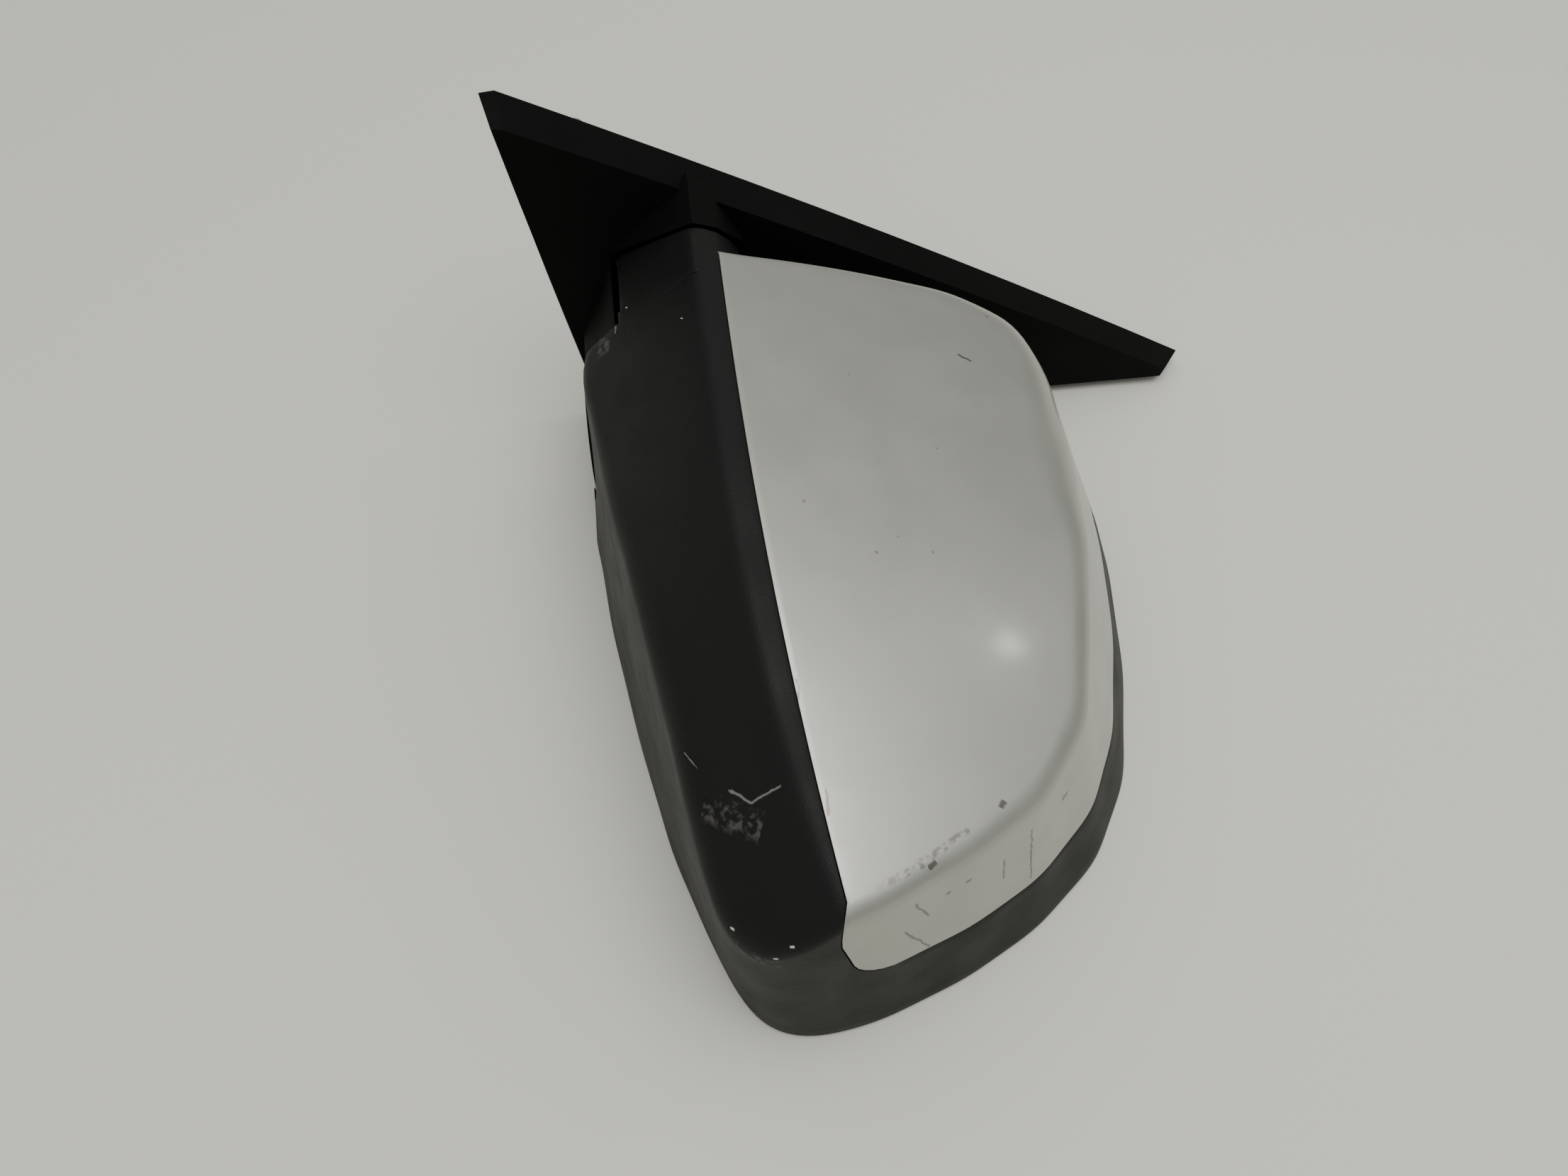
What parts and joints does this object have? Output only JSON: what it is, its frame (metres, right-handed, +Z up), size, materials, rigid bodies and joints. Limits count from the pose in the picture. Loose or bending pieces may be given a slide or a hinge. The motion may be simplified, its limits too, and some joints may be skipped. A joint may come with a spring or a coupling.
{
  "type": "car door mirror",
  "caption": "Left-hand powered door mirror: triangular base, folding housing with a painted cap, and a glass that tilts and pans on a screw-driven gimbal.",
  "frame": {"origin": "centre of the three mounting studs, on the bracket's door face", "axes": "+X towards the door, +Y ahead along the car (the glass faces -Y), +Z up"},
  "size_m": [0.2771, 0.1525, 0.2575],
  "materials": {
    "grained_black": "fine-grained black moulding, satin, scuffed",
    "silver_paint": "metallic silver paint with clear coat over a moulded cap",
    "seal_rubber": "soft black rubber",
    "die_cast": "as-cast aluminium",
    "zinc_steel": "zinc-plated steel",
    "filled_nylon": "glass-filled nylon",
    "actuator_black": "black moulding",
    "natural_acetal": "natural acetal",
    "motor_can": "drawn steel can",
    "brass": "bright brass",
    "heater_foil": "printed foil heater",
    "mirror_glass": "silvered convex-look flat glass"
  },
  "bodies": {
    "base": {"base_cover": "grained_black", "base_seal": "seal_rubber", "base_bracket": "die_cast", "mounting_studs": "zinc_steel", "cover_screws": "zinc_steel", "cable_grommet": "seal_rubber", "pivot_tube": "zinc_steel", "detent_plate": "zinc_steel", "disc_springs": "zinc_steel", "spring_washer": "zinc_steel", "retaining_ring": "zinc_steel"},
    "housing": {"housing_shell": "grained_black", "cap": "silver_paint", "housing_frame": "filled_nylon", "detent_balls": "zinc_steel", "hub_bush": "natural_acetal", "frame_screws": "zinc_steel", "actuator_lid": "actuator_black", "actuator_case": "actuator_black", "actuator_socket": "actuator_black", "actuator_screws": "zinc_steel", "tilt_motor": "motor_can", "pan_motor": "motor_can", "tilt_pins": "zinc_steel"},
    "gimbal": {"gimbal_ring": "natural_acetal", "pan_pins": "zinc_steel"},
    "glass": {"mirror_glass": "mirror_glass", "heater_pad": "heater_foil", "glass_holder": "actuator_black", "heater_terminals": "brass"},
    "tilt_screw": {"tilt_jackscrew": "natural_acetal"},
    "pan_screw": {"pan_jackscrew": "natural_acetal"},
    "tilt_gear": {"tilt_wheel": "natural_acetal"},
    "pan_gear": {"pan_wheel": "natural_acetal"},
    "tilt_driver": {"tilt_worm": "brass"},
    "pan_driver": {"pan_worm": "brass"}
  },
  "joints": [
    {"name": "fold", "type": "hinge", "parent": "base", "child": "housing", "pos_m": [-0.05, -0.015, -0.038], "axis": [0, 0, 1], "range_deg": [0, 55]},
    {"name": "tilt", "type": "hinge", "parent": "housing", "child": "gimbal", "pos_m": [-0.15, -0.04, 0.036], "axis": [1, 0, 0], "range_deg": [-6, 6]},
    {"name": "pan", "type": "hinge", "parent": "gimbal", "child": "glass", "pos_m": [-0.15, -0.04, 0.036], "axis": [0, 0, 1], "range_deg": [-6, 6]},
    {"name": "tilt_screw_travel", "type": "slide", "parent": "housing", "child": "tilt_screw", "axis": [0, 1, 0], "range_m": [-0.0048, 0.0048]},
    {"name": "pan_screw_travel", "type": "slide", "parent": "housing", "child": "pan_screw", "axis": [0, 1, 0], "range_m": [-0.0048, 0.0048]},
    {"name": "tilt_wheel_turn", "type": "hinge", "parent": "housing", "child": "tilt_gear", "pos_m": [-0.15, -0.0204, 0.07], "axis": [0, 1, 0], "range_deg": [-290, 290]},
    {"name": "pan_wheel_turn", "type": "hinge", "parent": "housing", "child": "pan_gear", "pos_m": [-0.184, -0.0204, 0.036], "axis": [0, 1, 0], "range_deg": [-290, 290]},
    {"name": "tilt_worm_turn", "type": "hinge", "parent": "housing", "child": "tilt_driver", "pos_m": [-0.15, -0.0204, 0.05955], "axis": [1, 0, 0], "range_deg": [-5600, 5600]},
    {"name": "pan_worm_turn", "type": "hinge", "parent": "housing", "child": "pan_driver", "pos_m": [-0.17355, -0.0204, 0.036], "axis": [0, 0, 1], "range_deg": [-5600, 5600]}
  ],
  "couplings": [
    {"joint": "tilt_screw_travel", "follows": "tilt", "m_per_rad": -0.034},
    {"joint": "pan_screw_travel", "follows": "pan", "m_per_rad": -0.034},
    {"joint": "tilt_wheel_turn", "follows": "tilt", "ratio": 35.605},
    {"joint": "pan_wheel_turn", "follows": "pan", "ratio": 35.605},
    {"joint": "tilt_worm_turn", "follows": "tilt", "ratio": 712.09},
    {"joint": "pan_worm_turn", "follows": "pan", "ratio": 712.09}
  ]
}
